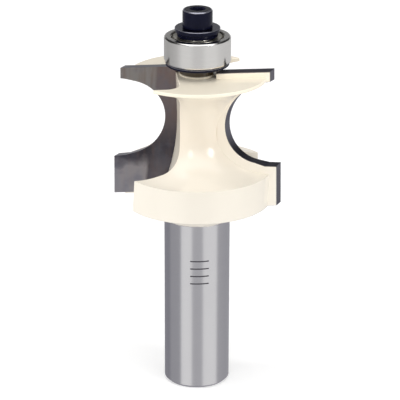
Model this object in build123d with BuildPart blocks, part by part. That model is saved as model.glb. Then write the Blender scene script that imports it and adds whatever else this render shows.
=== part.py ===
from build123d import *

# A two-flute cove cutter for a hand router. A steel body, shank and head in one, carries two brazed
# cutting plates. A ball bearing above the head guides the cutter along the work. It is held on the
# body's pilot stud by a socket head screw, a washer and a spacer, with a thin washer under it.
# Millimetres. The shank stands on z = 0 and its axis is z. Seen from above, the cutter turns
# counter-clockwise, so the right plate at +x cuts towards +y.

import os
from math import cos, radians, sin, tan

os.makedirs("parts", exist_ok=True)

# Shank
shank_radius = 6.35
shank_length = 37.65
shank_end_chamfer = 0.5
head_cone_height = 3.6
stud_end_chamfer = 0.25

# Turned head: a thick disc at the foot, a hollow, and a thin disc at the top
disc_foot_radius = 14.3
disc_brow_radius = 14.4
disc_height = 6.5
hollow_height = 18.0
neck_radius = 5.6
top_disc_radius = 13.3
top_disc_height = 0.65
disc_edge_round = 0.25
top_disc_edge_round = 0.15
lobe_tip_round = 0.25
boss_radius = 3.4
boss_height = 1.9

# Cutting plates, drawn flat on the rake face: "out" is the distance from the cutter's axis
plate_count = 2
plate_rise = 1.1
plate_height = 26.2
plate_thickness = 1.85
plate_relief = 1.05
plate_top_relief = 0.1
lip_relief = 0.13
plate_inner_edge = 3.4
rake_angle = 5.6
rake_setback = 1.4
shear_angle = 5.7
cove_radius = 7.7
cove_depth_below_top = 10.25
cove_waist_out = 5.95
cove_draft = 15.0
lip_start_out = 13.6
lip_rise = 0.13
upper_lip_out = 14.5
lower_lip_out = 15.75

# Steel pad that backs each plate
pad_thickness = 0.4
pad_inner_edge = 3.2
pad_inset = 0.1
pad_round = 0.15

# Gullet in front of each plate
gullet_width = 10.9
gullet_lean = 0.125
gullet_floor_round = 2.9
floor_out_at_top = 4.05
floor_out_at_waist = 3.7
run_out_radius = 39.0
run_out_height = 54.5
run_out_arc = 33.0
gullet_reach = 22.0

# Guide bearing
bearing_radius = 6.35
bearing_bore_radius = 2.38
bearing_width = 4.98
bearing_edge_round = 0.35
ball_count = 7
ball_radius = 1.19
ball_pitch_radius = 4.365
race_clearance = 0.03
inner_ring_radius = 3.45
inner_ring_chamfer = 0.12
outer_land_radius = 5.17
outer_shoulder_radius = 4.9
shield_seat_radius = 5.33
shield_seat_top = 0.2
shield_seat_depth = 0.75
shield_sheet = 0.18
shield_step_radius = 4.78
shield_step_run = 0.14
shield_recess = 0.12
shield_dish = 0.08
shield_bore_gap = 0.1
wire_radius = 0.16
wire_turn = 352
seat_gap = 0.02
cage_inner_radius = 3.98
cage_outer_radius = 4.74
cage_half_height = 1.4
pocket_clearance = 0.05
stud_gap = 0.02

# Washers, spacer and screw
lower_washer_radius = 6.05
lower_washer_rim = 0.5
lower_washer_hub_radius = 3.3
lower_washer_hub_rise = 0.14
washer_edge = 0.1
top_spacer_radius = 3.89
top_spacer_height = 0.85
top_washer_radius = 4.31
top_washer_height = 0.83
stud_short_of_face = 0.35
screw_thread_radius = 1.5
screw_thread_length = 10.0
screw_hole_gap = 0.15
tapped_hole_gap = 0.03
tapped_hole_spare = 1.0
screw_head_radius = 2.85
screw_head_height = 3.5
screw_head_round = 0.45
screw_head_foot_chamfer = 0.12
screw_tip_chamfer = 0.3
socket_across_flats = 2.5
socket_depth = 2.0
socket_mouth_chamfer = 0.05
socket_mouth_height = 0.3

# Heights that follow from the sizes above
disc_brow = shank_length + disc_height
hollow_middle = disc_brow + hollow_height / 2
top_disc_foot = disc_brow + hollow_height
head_top = top_disc_foot + top_disc_height
boss_top = head_top + boss_height
lower_washer_top = boss_top + lower_washer_rim
bearing_foot = lower_washer_top + lower_washer_hub_rise
bearing_middle = bearing_foot + bearing_width / 2
bearing_top = bearing_foot + bearing_width
spacer_top = bearing_top + top_spacer_height
screw_seat = spacer_top + top_washer_height
plate_top = head_top + plate_rise
stud_radius = bearing_bore_radius - stud_gap
stud_top = bearing_top - stud_short_of_face

# The right plate's rake face: it leans with the shear angle and is turned by the rake angle
rake = radians(rake_angle)
shear = radians(shear_angle)
outward = Vector(cos(rake), sin(rake), 0)
plate_foot_point = Vector(rake_setback * sin(rake), -rake_setback * cos(rake), plate_top)
backward = Vector(sin(rake), -cos(rake), 0)
rake_normal = backward * cos(shear) + Vector(0, 0, sin(shear))
rake_plane = Plane(origin=plate_foot_point, x_dir=outward, z_dir=rake_normal)
plate_back_point = plate_foot_point + backward * plate_thickness
plate_back_plane = Plane(origin=plate_back_point, x_dir=outward, z_dir=rake_normal)


def draw_plate_outline(step_in, lip_step, top_step, foot_step, inner_edge):
    """Lines of a plate's outline: step_in moves its ground edges inwards, lip_step thins both lips."""
    draft = radians(cove_draft)
    middle = -cove_depth_below_top
    waist_out = cove_waist_out - step_in
    arc_end_out = waist_out + cove_radius * (1 - sin(draft))
    arc_end_rise = cove_radius * cos(draft)
    lip_out = lip_start_out - step_in
    lip_start_rise = arc_end_rise + (lip_out - arc_end_out) * tan(draft) + lip_step
    lip_end_rise = lip_start_rise + lip_rise
    top = -top_step
    foot = foot_step - plate_height
    Polyline(
        (arc_end_out, middle + arc_end_rise),
        (lip_out, middle + lip_start_rise),
        (upper_lip_out - step_in, middle + lip_end_rise),
        (upper_lip_out - step_in, top),
        (inner_edge, top),
        (inner_edge, foot),
        (lower_lip_out - step_in, foot),
        (lower_lip_out - step_in, middle - lip_end_rise),
        (lip_out, middle - lip_start_rise),
        (arc_end_out, middle - arc_end_rise),
    )
    ThreePointArc(
        (arc_end_out, middle - arc_end_rise),
        (waist_out, middle),
        (arc_end_out, middle + arc_end_rise),
    )


def turned_washer(inner_radius, outer_radius, foot, top):
    """A plain washer, its four edges softened."""
    with BuildPart() as washer:
        with BuildSketch(Plane.XZ) as section:
            with Locations((inner_radius, foot)):
                Rectangle(outer_radius - inner_radius, top - foot, align=Align.MIN)
            chamfer(section.vertices(), washer_edge)
        revolve(axis=Axis.Z)
    return washer.part


def is_rim_arc(edge, height):
    """Tells whether a circular edge belongs to the top disc's rim at a height."""
    return edge.radius > top_disc_radius - 0.01 and abs(edge.center().Z - height) < 0.001


def write_piece(piece, name):
    """Labels a finished piece and writes it to its own file."""
    piece.label = name
    export_step(piece, f"parts/{name}.step")


# Cutting plate, its back narrower than its rake face by the relief
with BuildPart() as plate:
    with BuildSketch(rake_plane):
        with BuildLine():
            draw_plate_outline(0, 0, 0, 0, plate_inner_edge)
        make_face()
    with BuildSketch(plate_back_plane):
        with BuildLine():
            draw_plate_outline(plate_relief, lip_relief, plate_top_relief, 0, plate_inner_edge)
        make_face()
    loft(ruled=True)

# Pad behind a plate, with softened edges on its far side
with BuildPart() as pad:
    with BuildSketch(plate_back_plane):
        with BuildLine():
            draw_plate_outline(
                plate_relief + pad_inset,
                lip_relief + pad_inset,
                plate_top_relief + pad_inset,
                pad_inset,
                pad_inner_edge,
            )
        make_face()
    extrude(amount=pad_thickness)
    far_face = pad.faces().sort_by(Axis(rake_plane.origin, rake_normal))[-1]
    fillet(far_face.edges(), pad_round)

# Space in front of a plate: its floor is straight past the waist, then runs out on the cone with
# the radius of the wheel that ground it. Its far wall leans, and a round joins the two.
gullet_plane = Plane(origin=(0, 0, 0), x_dir=outward, z_dir=backward)
far_wall_plane = Plane(
    origin=plate_foot_point - backward * gullet_width,
    x_dir=outward,
    z_dir=Vector(0, 0, -gullet_lean) - backward,
)
with BuildPart() as gullet:
    with BuildSketch(gullet_plane):
        with BuildLine():
            floor_line = Line((floor_out_at_top, plate_top), (floor_out_at_waist, run_out_height))
            floor_arc = JernArc(floor_line @ 1, floor_line % 1, run_out_radius, run_out_arc)
            Polyline(
                floor_arc @ 1,
                (gullet_reach, (floor_arc @ 1).Y),
                (gullet_reach, plate_top),
                (floor_out_at_top, plate_top),
            )
        make_face()
    extrude(amount=gullet_reach, both=True)
    split(bisect_by=rake_plane, keep=Keep.BOTTOM)
    split(bisect_by=far_wall_plane, keep=Keep.BOTTOM)
    far_wall = gullet.faces().sort_by(Axis((0, 0, 0), backward))[0]
    floor_edges = far_wall.edges().sort_by(Axis((0, 0, 0), outward))[:2]
    fillet(floor_edges, gullet_floor_round)

# Body: turned, milled for the gullets, its rims and lobe tips rounded, then milled for the plates
with BuildPart() as cutter_body:
    with BuildSketch(Plane.XZ) as turned:
        with BuildLine():
            foot_lines = Polyline(
                (0, stud_top),
                (0, 0),
                (shank_radius - shank_end_chamfer, 0),
                (shank_radius, shank_end_chamfer),
                (shank_radius, shank_length - head_cone_height),
                (shank_radius + head_cone_height, shank_length),
                (disc_foot_radius, shank_length),
                (disc_brow_radius, disc_brow),
            )
            hollow = ThreePointArc(
                foot_lines @ 1,
                (neck_radius, hollow_middle),
                (top_disc_radius, top_disc_foot),
            )
            Polyline(
                hollow @ 1,
                (top_disc_radius, head_top),
                (boss_radius, head_top),
                (boss_radius, boss_top),
                (stud_radius, boss_top),
                (stud_radius, stud_top - stud_end_chamfer),
                (stud_radius - stud_end_chamfer, stud_top),
                (0, stud_top),
            )
        make_face()
        foot_corners = turned.vertices().filter_by(lambda corner: abs(corner.Y - shank_length) < 0.001)
        fillet(foot_corners.sort_by(Axis.X)[-1], disc_edge_round)
    revolve(axis=Axis.Z)
    with PolarLocations(0, plate_count):
        add(gullet.part, mode=Mode.SUBTRACT)
    top_edges = cutter_body.edges().filter_by(lambda edge: edge.center().Z > top_disc_foot)
    leaning_edges = top_edges.filter_by(GeomType.ELLIPSE).sort_by(lambda edge: abs(edge.center().Y))
    fillet(leaning_edges[-plate_count:], lobe_tip_round)
    for height in (head_top, top_disc_foot):
        circular_edges = cutter_body.edges().filter_by(GeomType.CIRCLE)
        fillet(circular_edges.filter_by(lambda edge: is_rim_arc(edge, height)), top_disc_edge_round)
    with PolarLocations(0, plate_count):
        add(pad.part)
        add(plate.part, mode=Mode.SUBTRACT)
    with Locations((0, 0, stud_top)):
        tapped_depth = stud_top - screw_seat + screw_thread_length + tapped_hole_spare
        Hole(screw_thread_radius + tapped_hole_gap, depth=tapped_depth)
write_piece(cutter_body.part, "cutter_body")

# The two plates
for side, turn in (("right", 0), ("left", 180)):
    with BuildPart() as tip:
        add(plate.part, rotation=(0, 0, turn))
    write_piece(tip.part, f"carbide_tip_{side}")

# Washer under the bearing: its narrow hub bears on the inner ring alone
with BuildPart() as lower_washer:
    add(turned_washer(bearing_bore_radius, lower_washer_radius, boss_top, lower_washer_top))
    hub_foot = lower_washer_top - washer_edge
    add(turned_washer(bearing_bore_radius, lower_washer_hub_radius, hub_foot, bearing_foot))
write_piece(lower_washer.part, "lower_washer")

# Bearing rings: each race is an arc that clears the balls
half_width = bearing_width / 2
race_radius = ball_radius + race_clearance
outer_race_half = (race_radius**2 - (outer_shoulder_radius - ball_pitch_radius) ** 2) ** 0.5
inner_race_half = (race_radius**2 - (ball_pitch_radius - inner_ring_radius) ** 2) ** 0.5
seat_top = half_width - shield_seat_top
seat_foot = half_width - shield_seat_depth
bearing_plane = Plane.XZ.shift_origin((0, 0, bearing_middle))

with BuildPart() as bearing_outer_ring:
    with BuildSketch(bearing_plane) as ring_section:
        with BuildLine():
            Polyline(
                (outer_shoulder_radius, -outer_race_half),
                (outer_shoulder_radius, -seat_foot),
                (shield_seat_radius, -seat_foot),
                (shield_seat_radius, -seat_top),
                (outer_land_radius, -seat_top),
                (outer_land_radius, -half_width),
                (bearing_radius, -half_width),
                (bearing_radius, half_width),
                (outer_land_radius, half_width),
                (outer_land_radius, seat_top),
                (shield_seat_radius, seat_top),
                (shield_seat_radius, seat_foot),
                (outer_shoulder_radius, seat_foot),
                (outer_shoulder_radius, outer_race_half),
            )
            ThreePointArc(
                (outer_shoulder_radius, outer_race_half),
                (ball_pitch_radius + race_radius, 0),
                (outer_shoulder_radius, -outer_race_half),
            )
        make_face()
        outer_corners = ring_section.vertices().filter_by(lambda corner: corner.X > bearing_radius - 0.01)
        fillet(outer_corners, bearing_edge_round)
    revolve(axis=Axis.Z)
write_piece(bearing_outer_ring.part, "bearing_outer_ring")

with BuildPart() as bearing_inner_ring:
    with BuildSketch(bearing_plane):
        with BuildLine():
            Polyline(
                (inner_ring_radius, inner_race_half),
                (inner_ring_radius, half_width - inner_ring_chamfer),
                (inner_ring_radius - inner_ring_chamfer, half_width),
                (bearing_bore_radius + inner_ring_chamfer, half_width),
                (bearing_bore_radius, half_width - inner_ring_chamfer),
                (bearing_bore_radius, inner_ring_chamfer - half_width),
                (bearing_bore_radius + inner_ring_chamfer, -half_width),
                (inner_ring_radius - inner_ring_chamfer, -half_width),
                (inner_ring_radius, inner_ring_chamfer - half_width),
                (inner_ring_radius, -inner_race_half),
            )
            ThreePointArc(
                (inner_ring_radius, -inner_race_half),
                (ball_pitch_radius - race_radius, 0),
                (inner_ring_radius, inner_race_half),
            )
        make_face()
    revolve(axis=Axis.Z)
write_piece(bearing_inner_ring.part, "bearing_inner_ring")

# Balls, evenly spaced from +x
ball_places = PolarLocations(ball_pitch_radius, ball_count).local_locations
for number, place in enumerate(ball_places, start=1):
    with BuildPart() as ball:
        with Locations(place.position + Vector(0, 0, bearing_middle)):
            Sphere(ball_radius)
    write_piece(ball.part, f"ball_{number}")

# Above and below the balls: a cage half, a shield and the wire ring that holds the shield
shield_top = half_width - shield_recess
shield_outer = shield_seat_radius - seat_gap
shield_inner = inner_ring_radius + shield_bore_gap
shield_step_top = shield_step_radius - shield_step_run
wire_height = seat_foot + shield_sheet + seat_gap + wire_radius
wire_pitch_radius = shield_seat_radius - seat_gap - wire_radius
for place, side in (("upper", 1), ("lower", -1)):
    with BuildPart() as cage:
        with BuildSketch(Plane.XY.offset(bearing_middle)):
            Circle(cage_outer_radius)
            Circle(cage_inner_radius, mode=Mode.SUBTRACT)
        extrude(amount=side * cage_half_height)
        with Locations((0, 0, bearing_middle)):
            with PolarLocations(ball_pitch_radius, ball_count):
                Sphere(ball_radius + pocket_clearance, mode=Mode.SUBTRACT)
    write_piece(cage.part, f"cage_{place}")

    with BuildPart() as shield:
        with BuildSketch(bearing_plane):
            Polygon(
                (shield_outer, side * seat_foot),
                (shield_outer, side * (seat_foot + shield_sheet)),
                (shield_step_radius, side * (seat_foot + shield_sheet)),
                (shield_step_top, side * shield_top),
                (shield_inner, side * (shield_top - shield_dish)),
                (shield_inner, side * (shield_top - shield_dish - shield_sheet)),
                (shield_step_top - shield_sheet, side * (shield_top - shield_sheet)),
                (shield_step_radius - shield_sheet, side * seat_foot),
                align=None,
            )
        revolve(axis=Axis.Z)
    write_piece(shield.part, f"{place}_shield")

    with BuildPart() as wire:
        with BuildSketch(bearing_plane):
            with Locations((wire_pitch_radius, side * wire_height)):
                Circle(wire_radius)
        revolve(axis=Axis.Z, revolution_arc=wire_turn)
    write_piece(wire.part, f"{place}_shield_wire")

# Spacer and washer over the bearing
screw_hole_radius = screw_thread_radius + screw_hole_gap
write_piece(turned_washer(screw_hole_radius, top_spacer_radius, bearing_top, spacer_top), "top_spacer")
write_piece(turned_washer(screw_hole_radius, top_washer_radius, spacer_top, screw_seat), "top_washer")

# Socket head screw: its thread is left as a plain shaft
with BuildPart() as cap_screw:
    with BuildSketch(Plane.XZ.shift_origin((0, 0, screw_seat))) as half_section:
        Polygon(
            (0, -screw_thread_length),
            (screw_thread_radius - screw_tip_chamfer, -screw_thread_length),
            (screw_thread_radius, screw_tip_chamfer - screw_thread_length),
            (screw_thread_radius, 0),
            (screw_head_radius - screw_head_foot_chamfer, 0),
            (screw_head_radius, screw_head_foot_chamfer),
            (screw_head_radius, screw_head_height),
            (0, screw_head_height),
            align=None,
        )
        fillet(half_section.vertices().sort_by(Axis((0, 0, 0), (1, 1, 0)))[-1], screw_head_round)
    revolve(axis=Axis.Z)
    with BuildSketch(Plane.XY.offset(screw_seat + screw_head_height)):
        RegularPolygon(socket_across_flats / 2, 6, major_radius=False)
    extrude(amount=-socket_depth, mode=Mode.SUBTRACT)
    socket_corner_radius = socket_across_flats / 2 / cos(radians(30))
    socket_mouth_radius = socket_corner_radius + socket_mouth_chamfer
    with Locations((0, 0, screw_seat + screw_head_height)):
        Cone(
            socket_mouth_radius - socket_mouth_height,
            socket_mouth_radius,
            socket_mouth_height,
            align=(Align.CENTER, Align.CENTER, Align.MAX),
            mode=Mode.SUBTRACT,
        )
write_piece(cap_screw.part, "cap_screw")
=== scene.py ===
import math

import bpy
from mathutils import Euler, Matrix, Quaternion, Vector

# A two-flute router bit with a guide bearing, standing on its shank on a pale floor.
# Metres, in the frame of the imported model: the shank's end is on z = 0 and its axis is z.

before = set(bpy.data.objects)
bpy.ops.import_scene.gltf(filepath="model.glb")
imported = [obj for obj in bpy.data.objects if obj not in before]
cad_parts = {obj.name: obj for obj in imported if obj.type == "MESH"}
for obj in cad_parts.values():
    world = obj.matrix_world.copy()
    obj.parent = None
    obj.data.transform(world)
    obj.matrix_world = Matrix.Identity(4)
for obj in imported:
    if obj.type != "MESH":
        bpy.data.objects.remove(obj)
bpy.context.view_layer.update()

# Camera, fitted to the photo's outlines
FOCAL_PIXELS = 2142.4
FRAME_PIXELS = 400
SENSOR_MM = 36.0
CAMERA_DISTANCE = 0.4143
CAMERA_PITCH = math.radians(20.743)
CAMERA_ROLL = 0.0029
AIM_HEIGHT = 0.03723
AXIS_LEFT_OF_CENTRE = 0.00056

# Heights and distances from the axis on the bit. The boss stands on the head's top.
SHANK_LENGTH = 0.03765
HEAD_TOP = 0.0628
BOSS_REACH = 0.00345
# Height over which the painted shade on the boss fades in above the head's top
BOSS_SHADE_FADE = 0.0004
SOCKET_REACH = 0.00152
PAINT_FOOT = 0.03395
PAINT_FADE = 0.0003
PAINT_RAGGEDNESS = 0.0006
MARK_COUNT = 4
TOP_MARK = 0.02693
MARK_PITCH = 0.00155
MARK_LEFT = -0.0013
MARK_RIGHT = 0.0023
MARK_WIDTH = 0.00026

# Paint, from the head's foot to its top: share of the height and screen colour. The cream is the paint's
# own colour; its shift with height is painted light: warmer on the neck for light bounced in the hollow,
# palest and warmest at the top to lift the shade under the bearing
PAINT_TINTS = (
    (0.00, (243, 236, 223)),
    (0.25, (242, 235, 221)),
    (0.55, (242, 230, 211)),
    (0.90, (243, 232, 213)),
    (0.95, (255, 245, 224)),
)
# Rake face, from its foot to its top: share of the plate's height and screen colour
RAKE_TINTS = (
    (0.00, (104, 98, 102)),
    (0.18, (92, 89, 97)),
    (0.28, (77, 75, 85)),
    (0.36, (69, 68, 79)),
    (0.48, (85, 81, 89)),
    (0.64, (108, 99, 101)),
    (0.78, (121, 111, 111)),
    (1.00, (128, 115, 112)),
)
# Worn patches on the rake face: how far out they start at the plate's foot and top, the blur and
# wander of that border, and the heights between which the patches fade towards the waist
WEAR_BORDERS = (0.0101, 0.0077)
WEAR_BLUR = 0.0003
WEAR_BORDER_WANDER = 0.0012
WEAR_END_WANDER = 0.004
LOW_WEAR_FADE = (0.0454, 0.0430)
HIGH_WEAR_FADE = (0.0520, 0.0570)
# Relief of the finishes
PAINT_RELIEF = 0.000004
CARBIDE_RELIEF = 0.000005
OXIDE_RELIEF = 0.000004
POLISH_RELIEF = 0.000003
OXIDE_IOR = 1.22

# Studio
FLOOR_RADIUS = 3.0
FLOOR_COLOUR = (0.86, 0.86, 0.86)
FLOOR_LIFT = 0.28
WORLD_LEVEL = 0.66
# Lamps: bearing angle and elevation in degrees, distance and size in metres, watts
LAMPS = (
    ("right_lamp", 128.0, 26.0, 1.2, 0.35, 3.2),
    ("side_lamp", -90.0, 14.0, 1.2, 0.35, 5.8),
    ("front_lamp", 178.0, 5.0, 1.2, 0.35, 1.3),
    ("top_lamp", -175.0, 72.0, 1.2, 0.8, 2.9),
)

# Mirror dome: what polished surfaces reflect. Its lower half has one band of heights for the shank
# and one for the bearing. A bearing angle counts from +y towards +x.
DOME_RADIUS = 0.3
DOME_CENTRE = 0.04
SHANK_TO_BEARING = (-0.092, -0.078)
SHANK_COOLNESS = 0.05
# Brightness round the dome, by share of a turn from -x through -y, +x and +y
SHANK_BANDS = (
    (0.000, 0.42),
    (0.082, 0.42),
    (0.096, 0.97),
    (0.195, 0.97),
    (0.210, 0.56),
    (0.302, 0.56),
    (0.315, 0.96),
    (0.450, 0.96),
    (0.468, 0.51),
    (0.600, 0.44),
    (0.680, 0.42),
    (0.750, 0.36),
    (0.830, 0.30),
    (0.935, 0.30),
    (0.960, 0.42),
    (1.000, 0.42),
)
BEARING_BANDS = (
    (0.000, 0.54),
    (0.040, 0.60),
    (0.100, 0.82),
    (0.170, 0.83),
    (0.230, 0.74),
    (0.290, 0.75),
    (0.340, 0.86),
    (0.420, 0.86),
    (0.480, 0.77),
    (0.570, 0.73),
    (0.750, 0.60),
    (0.830, 0.47),
    (0.920, 0.47),
    (1.000, 0.54),
)
# Upper half: brightness by height over the dome's centre, as a share of its radius. Straight behind
# the bit, beside that, and on the camera's side.
FAR_SKY = ((0.00, 0.70), (0.27, 0.80), (0.33, 0.36), (0.385, 0.30), (0.425, 0.07), (1.00, 0.07))
SIDE_SKY = ((0.00, 0.60), (0.16, 0.30), (0.26, 0.03), (1.00, 0.03))
NEAR_SKY = ((0.00, 0.60), (0.30, 0.30), (1.00, 0.30))
# Distances from the dome's centre over which behind goes over to beside, far to near, and low to high
BEHIND_TO_BESIDE = (0.12, 0.17)
FAR_TO_NEAR = (0.0, -0.15)
LOW_TO_HIGH = (0.0, 0.02)
# Soft boxes: bearing angle and elevation in degrees, radius in degrees, strength
SOFT_BOXES = (
    (180.0, 70.0, 36.0, 2.4),
    (132.0, 31.0, 9.0, 11.0),
    (-157.0, 36.0, 7.0, 5.0),
)
# A soft box is even within the first share of its radius and ends at the second
SOFT_BOX_RIM = (0.75, 1.25)


def link_or_set(tree, socket, value):
    """Links a socket to another node's output, or sets it to a plain value."""
    if isinstance(value, bpy.types.NodeSocket):
        tree.links.new(value, socket)
    else:
        socket.default_value = value


def node(tree, kind, inputs=None, **settings):
    """Adds a shader node; inputs maps socket names or numbers to values or to other nodes' outputs."""
    made = tree.nodes.new("ShaderNode" + kind)
    for name, value in settings.items():
        setattr(made, name, value)
    for name, value in (inputs or {}).items():
        link_or_set(tree, made.inputs[name], value)
    return made


def calculate(tree, operation, first, second=0.0, third=0.0, clamp=False):
    """One step of arithmetic on shader values."""
    step = node(tree, "Math", {0: first, 1: second, 2: third}, operation=operation, use_clamp=clamp)
    return step.outputs[0]


def rescale(tree, value, low, high, top=1.0):
    """Goes from 0 where the value is low to the top where it is high, and no further."""
    inputs = {"Value": value, "From Min": low, "From Max": high, "To Max": top}
    return node(tree, "MapRange", inputs).outputs["Result"]


def split(tree, vector):
    """The three coordinates of a vector."""
    return node(tree, "SeparateXYZ", {0: vector}).outputs


def blend_colours(tree, amount, first, second):
    """A colour between two others."""
    mixer = node(tree, "Mix", {"Factor": amount}, data_type="RGBA")
    link_or_set(tree, mixer.inputs["A"], first)
    link_or_set(tree, mixer.inputs["B"], second)
    return mixer.outputs["Result"]


def blend_values(tree, amount, first, second):
    """A number between two others."""
    return node(tree, "Mix", {0: amount, 2: first, 3: second}).outputs[0]


def colour_ramp(tree, amount, stops):
    """Colours along a ramp; each stop is a place and a colour."""
    ramp = node(tree, "ValToRGB", {"Fac": amount})
    elements = ramp.color_ramp.elements
    while len(elements) > 1:
        elements.remove(elements[-1])
    elements[0].position, elements[0].color = stops[0]
    for place, tint in stops[1:]:
        elements.new(place).color = tint
    return ramp.outputs["Color"]


def grey_ramp(tree, amount, stops, coolness=0.0):
    """Grey levels along a ramp, the darker ones bluer by the coolness; each stop is a place and a level."""
    greys = [(place, (level, level, level + coolness * (1 - level), 1.0)) for place, level in stops]
    return colour_ramp(tree, amount, greys)


def colour(red, green, blue):
    """An opaque colour from 0 to 255 screen values."""
    def linear(level):
        share = level / 255
        if share <= 0.04045:
            return share / 12.92
        return ((share + 0.055) / 1.055) ** 2.4
    return (linear(red), linear(green), linear(blue), 1.0)


class Material:
    """A procedural material with its object coordinates ready to use."""

    def __init__(self, name):
        self.material = bpy.data.materials.new(name)
        self.material.use_nodes = True
        self.tree = self.material.node_tree
        self.shader = self.tree.nodes["Principled BSDF"]
        coordinates = node(self.tree, "TexCoord").outputs
        self.place = coordinates["Object"]
        self.normal = coordinates["Normal"]

    def reach(self):
        """Distance from the bit's axis."""
        level = node(self.tree, "VectorMath", {0: self.place, 1: (1.0, 1.0, 0.0)}, operation="MULTIPLY")
        return node(self.tree, "VectorMath", {0: level.outputs[0]}, operation="LENGTH").outputs["Value"]

    def noise(self, scale, detail=2.0, stretch=(1, 1, 1)):
        """Noise over the object; stretch above 1 packs it tighter along an axis."""
        mapped = node(self.tree, "Mapping", {"Vector": self.place, "Scale": stretch})
        inputs = {"Vector": mapped.outputs[0], "Scale": scale, "Detail": detail}
        return node(self.tree, "TexNoise", inputs).outputs["Fac"]

    def bump(self, height, distance):
        """Roughens the surface by a height from 0 to 1 times the distance in metres."""
        inputs = {"Height": height, "Distance": distance, "Strength": 1.0}
        bumped = node(self.tree, "Bump", inputs)
        self.tree.links.new(bumped.outputs[0], self.shader.inputs["Normal"])

    def finish(self, **inputs):
        """Sets the shader's sockets; underscores in names stand for spaces."""
        for name, value in inputs.items():
            link_or_set(self.tree, self.shader.inputs[name.replace("_", " ")], value)
        return self.material


def painted_body():
    """Cream paint on the head, bare ground steel on the shank with four thin marks."""
    made = Material("paint_and_ground_steel")
    tree = made.tree
    x, y, z = split(tree, made.place)

    # Paint reaches down the cone and ends in a slightly ragged line
    ragged = calculate(tree, "SUBTRACT", made.noise(900), 0.5)
    height = calculate(tree, "MULTIPLY_ADD", ragged, PAINT_RAGGEDNESS, third=z)
    painted = rescale(tree, height, PAINT_FOOT, PAINT_FOOT + PAINT_FADE)

    # Paint: cream with the faintest clouding; warmer on the neck as painted bounced light, palest at the
    # top as painted light in the shade under the bearing
    clouds = made.noise(220, 3.0)
    up = rescale(tree, z, SHANK_LENGTH, HEAD_TOP)
    cream = colour_ramp(tree, up, [(place, colour(*levels)) for place, levels in PAINT_TINTS])
    cream = blend_colours(tree, calculate(tree, "MULTIPLY", clouds, 0.3), cream, colour(250, 243, 231))
    peel = made.noise(1800)

    # Painted shade: the boss under the bearing is coloured dark olive-brown, the shadow of the washer and
    # bearing painted into its colour
    near_axis = calculate(tree, "LESS_THAN", made.reach(), BOSS_REACH)
    above_head = rescale(tree, z, HEAD_TOP, HEAD_TOP + BOSS_SHADE_FADE)
    boss = calculate(tree, "MULTIPLY", near_axis, above_head)
    cream = blend_colours(tree, boss, cream, colour(66, 56, 41))

    # Steel: fine rings from the grinding wheel, and soft stains
    rings = made.noise(160, 4.0, stretch=(1, 1, 90))
    stains = made.noise(260, 3.0)
    steel = blend_colours(tree, rings, colour(204, 203, 205), colour(214, 213, 214))
    steel = blend_colours(tree, calculate(tree, "MULTIPLY", stains, 0.25), steel, colour(186, 184, 190))

    # Marks: thin dark lines a little way round the front of the shank
    ink = 0.0
    for number in range(MARK_COUNT):
        mark_height = TOP_MARK - number * MARK_PITCH
        distance = calculate(tree, "ABSOLUTE", calculate(tree, "SUBTRACT", z, mark_height))
        ink = calculate(tree, "ADD", ink, calculate(tree, "LESS_THAN", distance, MARK_WIDTH / 2))
    for side, limit in (("GREATER_THAN", MARK_LEFT), ("LESS_THAN", MARK_RIGHT)):
        ink = calculate(tree, "MULTIPLY", ink, calculate(tree, side, x, limit))
    ink = calculate(tree, "MULTIPLY", ink, calculate(tree, "LESS_THAN", y, 0.0))
    steel = blend_colours(tree, ink, steel, colour(62, 60, 66))

    bare = calculate(tree, "SUBTRACT", 1.0, painted, clamp=True)
    steel_part = calculate(tree, "SUBTRACT", 1.0, ink, clamp=True)
    metal = calculate(tree, "MULTIPLY", bare, steel_part)
    steel_roughness = blend_values(tree, rings, 0.16, 0.26)
    roughness = blend_values(tree, painted, steel_roughness, 0.15)
    relief = blend_values(tree, painted, rings, peel)
    made.bump(relief, PAINT_RELIEF)
    return made.finish(
        Base_Color=blend_colours(tree, painted, steel, cream),
        Metallic=metal,
        Roughness=roughness,
    )


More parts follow.
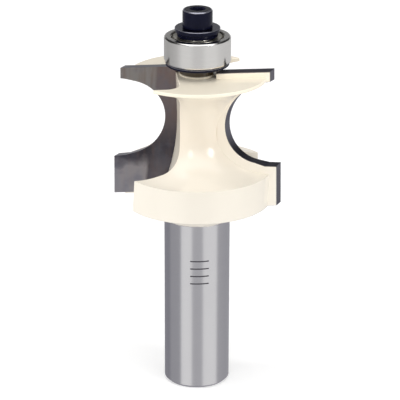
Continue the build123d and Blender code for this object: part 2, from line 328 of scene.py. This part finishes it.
def ground_carbide():
    """Dark carbide. Its rake faces are darkest under the waist, with worn patches by both lips."""
    made = Material("ground_carbide")
    tree = made.tree
    x, _, z = split(tree, made.place)
    out = calculate(tree, "ABSOLUTE", x)
    lines = made.noise(300, 5.0, stretch=(60, 1, 1))
    mottle = made.noise(330, 3.0)
    streaks = made.noise(170, 4.0, stretch=(7, 1, 1))

    # Rake face: tinted by height
    up = rescale(tree, z, *height_span("carbide_tip_left"))
    tints = colour_ramp(tree, up, [(place, colour(*levels)) for place, levels in RAKE_TINTS])

    # Worn patches: a sharp inner border, and a soft end towards the waist
    border = blend_values(tree, up, *WEAR_BORDERS)
    uneven = calculate(tree, "SUBTRACT", mottle, 0.5)
    wandering = calculate(tree, "MULTIPLY_ADD", uneven, WEAR_BORDER_WANDER, third=out)
    outer = rescale(tree, calculate(tree, "SUBTRACT", wandering, border), -WEAR_BLUR, WEAR_BLUR)
    level = calculate(tree, "MULTIPLY_ADD", uneven, WEAR_END_WANDER, third=z)
    low = rescale(tree, level, *LOW_WEAR_FADE)
    high = rescale(tree, level, *HIGH_WEAR_FADE)
    worn = blend_colours(tree, high, colour(143, 143, 152), colour(148, 143, 138))
    worn = blend_colours(tree, calculate(tree, "MULTIPLY", streaks, low), worn, colour(176, 170, 170))
    wear = calculate(tree, "MULTIPLY", outer, calculate(tree, "ADD", low, high, clamp=True))
    rake = blend_colours(tree, wear, tints, worn)

    # Streaks of brown and blue along the plate
    brown = rescale(tree, streaks, 0.45, 0.75, top=0.5)
    brown = calculate(tree, "MULTIPLY", brown, calculate(tree, "MULTIPLY_ADD", up, 0.8, 0.2))
    rake = blend_colours(tree, brown, rake, colour(124, 100, 90))
    blue = rescale(tree, mottle, 0.48, 0.72, top=0.4)
    rake = blend_colours(tree, blue, rake, colour(104, 108, 122))

    # Rake faces and backs look along y; the ground lands between them are blue-black
    along_y = calculate(tree, "ABSOLUTE", split(tree, made.normal)[1])
    facing = calculate(tree, "GREATER_THAN", along_y, 0.9)
    land = blend_colours(tree, lines, colour(86, 85, 98), colour(104, 102, 114))
    made.bump(lines, CARBIDE_RELIEF)
    return made.finish(
        Base_Color=blend_colours(tree, facing, land, rake),
        Metallic=0.95,
        Roughness=blend_values(tree, mottle, 0.24, 0.36),
    )


def black_oxide(name, face_tint, face_shine, painted_edge_glint):
    """Blue-black oxide, lightly oiled. Faces that look straight up get their own tint and shine, a painted
    reflection that makes the tops lighter, and upward-leaning edges get bright steel as a painted
    highlight.
    """
    made = Material(name)
    tree = made.tree
    mottle = made.noise(1500, 4.0)
    tint = blend_colours(tree, mottle, colour(9, 10, 28), colour(17, 19, 40))
    upward = split(tree, made.normal)[2]
    # Painted reflection: faces that look straight up take the face tint, and the face shine makes them
    # mirror-like, so the tops show lighter than the sides
    level = calculate(tree, "GREATER_THAN", upward, 0.97)
    tint = blend_colours(tree, level, tint, face_tint)

    # Painted highlight: surfaces that lean upwards, towards the overhead soft box, turn to bright
    # bare-steel metal so chamfers and rounded edges catch highlight arcs; the screw's socket is dull and
    # has none
    leaning = calculate(tree, "COMPARE", upward, 0.7, 0.26)
    outside = calculate(tree, "GREATER_THAN", made.reach(), SOCKET_REACH)
    painted_glint = calculate(tree, "MULTIPLY", calculate(tree, "MULTIPLY", leaning, painted_edge_glint), outside)
    shiny = calculate(tree, "MULTIPLY", level, face_shine)
    oiled = blend_values(tree, mottle, 0.14, 0.24)
    made.bump(mottle, OXIDE_RELIEF)
    return made.finish(
        Base_Color=blend_colours(tree, painted_glint, tint, colour(160, 160, 170)),
        Metallic=calculate(tree, "MAXIMUM", painted_glint, shiny),
        IOR=OXIDE_IOR,
        Roughness=blend_values(tree, outside, 0.8, oiled),
    )


def polished_steel(name, low, high, roughness):
    """Turned and polished steel with faint rings round the axis."""
    made = Material(name)
    tree = made.tree
    rings = made.noise(140, 4.0, stretch=(1, 1, 70))
    made.bump(rings, POLISH_RELIEF)
    return made.finish(
        Base_Color=blend_colours(tree, rings, low, high),
        Metallic=1.0,
        Roughness=blend_values(tree, rings, roughness, roughness + 0.08),
    )


def height_span(name):
    """The lowest and highest point of a piece."""
    heights = [corner[2] for corner in bpy.data.objects[name].bound_box]
    return min(heights), max(heights)


def give(material, *names):
    """Puts a material on every slot of the named pieces."""
    for name in names:
        piece = bpy.data.objects[name]
        for slot in piece.material_slots:
            slot.material = material


def dress_pieces():
    """Gives every piece its material."""
    ball_names = [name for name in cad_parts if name.startswith("ball_")]
    give(painted_body(), "cutter_body")
    give(ground_carbide(), "carbide_tip_right", "carbide_tip_left")
    # Painted sheen on the oxide: the top washer and spacer get lighter, mirror-like tops, and all four
    # pieces bright upward-leaning edges, as painted reflection and highlight
    painted_glint = black_oxide("oxide_with_painted_sheen", colour(95, 97, 112), face_shine=1.0, painted_edge_glint=0.55)
    give(painted_glint, "top_spacer", "top_washer")
    fresh = black_oxide("fresh_oxide", colour(22, 23, 34), face_shine=0.0, painted_edge_glint=0.7)
    give(fresh, "lower_washer", "cap_screw")
    bright = polished_steel("bearing_steel", colour(214, 212, 210), colour(224, 222, 220), 0.13)
    give(bright, "bearing_outer_ring", "bearing_inner_ring", *ball_names)
    satin = polished_steel("pressed_sheet_steel", colour(186, 183, 172), colour(218, 214, 202), 0.27)
    give(satin, "upper_shield", "lower_shield", "cage_upper", "cage_lower")
    spring = polished_steel("spring_wire", colour(176, 174, 170), colour(208, 206, 202), 0.18)
    give(spring, "upper_shield_wire", "lower_shield_wire")


def build_floor():
    """A pale floor that keeps the bit's shadow and is white behind it."""
    bpy.ops.mesh.primitive_circle_add(vertices=96, radius=FLOOR_RADIUS, fill_type="NGON")
    floor = bpy.context.object
    floor.name = "studio_floor"
    material = bpy.data.materials.new("studio_floor")
    material.use_nodes = True
    tree = material.node_tree
    tree.nodes.clear()
    rays = node(tree, "LightPath").outputs
    clear_rays = calculate(tree, "MAXIMUM", rays["Is Camera Ray"], rays["Is Transmission Ray"])
    diffuse = node(tree, "BsdfDiffuse", {"Color": (*FLOOR_COLOUR, 1.0)})
    lift = node(tree, "Emission", {"Strength": calculate(tree, "MULTIPLY", clear_rays, FLOOR_LIFT)})
    seen = node(tree, "AddShader", {0: diffuse.outputs[0], 1: lift.outputs[0]})

    # Mirror rays pass through to the dome
    through = node(tree, "BsdfTransparent")
    mixed = node(tree, "MixShader", {0: rays["Is Glossy Ray"], 1: seen.outputs[0], 2: through.outputs[0]})
    node(tree, "OutputMaterial", {"Surface": mixed.outputs[0]})
    floor.data.materials.append(material)


def direction(bearing, elevation):
    """A unit vector from a bearing angle and an elevation in degrees."""
    turn, rise = math.radians(bearing), math.radians(elevation)
    return (math.sin(turn) * math.cos(rise), math.cos(turn) * math.cos(rise), math.sin(rise))


def build_dome():
    """A dome that only polished surfaces see, with the studio's flats and soft boxes on it."""
    bpy.ops.mesh.primitive_uv_sphere_add(segments=96, ring_count=48, radius=DOME_RADIUS)
    dome = bpy.context.object
    dome.name = "mirror_dome"
    dome.location.z = DOME_CENTRE
    dome.visible_camera = False
    dome.visible_diffuse = False
    dome.visible_transmission = False
    dome.visible_shadow = False
    material = bpy.data.materials.new("mirror_dome")
    material.use_nodes = True
    tree = material.node_tree
    tree.nodes.clear()
    place = node(tree, "TexCoord").outputs["Object"]
    x, y, z = split(tree, place)
    turn = node(tree, "TexGradient", {"Vector": place}, gradient_type="RADIAL").outputs["Fac"]

    # Lower half: sharply banded for the shank, softly for the bearing
    low = blend_colours(
        tree,
        rescale(tree, z, *SHANK_TO_BEARING),
        grey_ramp(tree, turn, SHANK_BANDS, coolness=SHANK_COOLNESS),
        grey_ramp(tree, turn, BEARING_BANDS),
    )

    # Upper half: dark beyond the bit but for a bright window low behind it, half grey over the camera
    height = calculate(tree, "DIVIDE", z, DOME_RADIUS)
    far = blend_colours(
        tree,
        rescale(tree, calculate(tree, "ABSOLUTE", x), *BEHIND_TO_BESIDE),
        grey_ramp(tree, height, FAR_SKY),
        grey_ramp(tree, height, SIDE_SKY),
    )
    nearness = rescale(tree, y, *FAR_TO_NEAR)
    high = blend_colours(tree, nearness, far, grey_ramp(tree, height, NEAR_SKY))
    flats = blend_colours(tree, rescale(tree, z, *LOW_TO_HIGH), low, high)

    # Soft boxes
    outward = node(tree, "VectorMath", {0: place}, operation="NORMALIZE").outputs[0]
    glow = 0.0
    for bearing, elevation, radius, strength in SOFT_BOXES:
        heart = direction(bearing, elevation)
        closeness = node(tree, "VectorMath", {0: outward, 1: heart}, operation="DOT_PRODUCT")
        inner, outer = (math.cos(math.radians(radius * share)) for share in SOFT_BOX_RIM)
        lit = rescale(tree, closeness.outputs["Value"], outer, inner, top=strength)
        glow = calculate(tree, "ADD", glow, lit)
    boxes = node(tree, "Emission", {"Strength": glow})
    screen = node(tree, "Emission", {"Color": flats})
    both = node(tree, "AddShader", {0: boxes.outputs[0], 1: screen.outputs[0]})
    node(tree, "OutputMaterial", {"Surface": both.outputs[0]})
    dome.data.materials.append(material)


def build_world():
    """White to the camera, to reflections and through glass; softer as a light."""
    world = bpy.data.worlds.new("studio")
    world.use_nodes = True
    tree = world.node_tree
    tree.nodes.clear()
    rays = node(tree, "LightPath").outputs
    seen = calculate(tree, "MAXIMUM", rays["Is Camera Ray"], rays["Is Glossy Ray"])
    seen = calculate(tree, "MAXIMUM", seen, rays["Is Transmission Ray"])
    level = blend_values(tree, seen, WORLD_LEVEL, 1.0)
    sky = node(tree, "Background", {"Color": (1.0, 1.0, 1.0, 1.0), "Strength": level})
    node(tree, "OutputWorld", {"Surface": sky.outputs[0]})
    bpy.context.scene.world = world


def build_lamps():
    """Soft lamps: to the right, on the left side, low in front and a wide one overhead."""
    target = Vector((0.0, 0.0, AIM_HEIGHT))
    for name, bearing, elevation, distance, size, watts in LAMPS:
        data = bpy.data.lights.new(name, "AREA")
        data.shape = "SQUARE"
        data.size = size
        data.energy = watts
        lamp = bpy.data.objects.new(name, data)
        lamp.location = target + Vector(direction(bearing, elevation)) * distance
        lamp.rotation_euler = (target - lamp.location).to_track_quat("-Z", "Y").to_euler()
        lamp.visible_glossy = False
        bpy.context.collection.objects.link(lamp)


def build_camera():
    """The photo's viewpoint: a long lens, looking down along +y."""
    data = bpy.data.cameras.new("camera")
    data.sensor_width = SENSOR_MM
    data.lens = FOCAL_PIXELS / FRAME_PIXELS * SENSOR_MM
    data.clip_start = 0.01
    data.clip_end = 20.0
    camera = bpy.data.objects.new("camera", data)
    back = Vector((0.0, -math.cos(CAMERA_PITCH), math.sin(CAMERA_PITCH)))
    aim = Vector((AXIS_LEFT_OF_CENTRE, 0.0, AIM_HEIGHT))
    camera.location = aim + back * CAMERA_DISTANCE
    camera.rotation_mode = "QUATERNION"
    look = Euler((math.pi / 2 - CAMERA_PITCH, 0.0, 0.0)).to_quaternion()
    camera.rotation_quaternion = look @ Quaternion((0.0, 0.0, 1.0), CAMERA_ROLL)
    bpy.context.collection.objects.link(camera)
    bpy.context.scene.camera = camera


dress_pieces()
build_floor()
build_dome()
build_world()
build_lamps()
build_camera()
bpy.context.scene.view_settings.view_transform = "Standard"
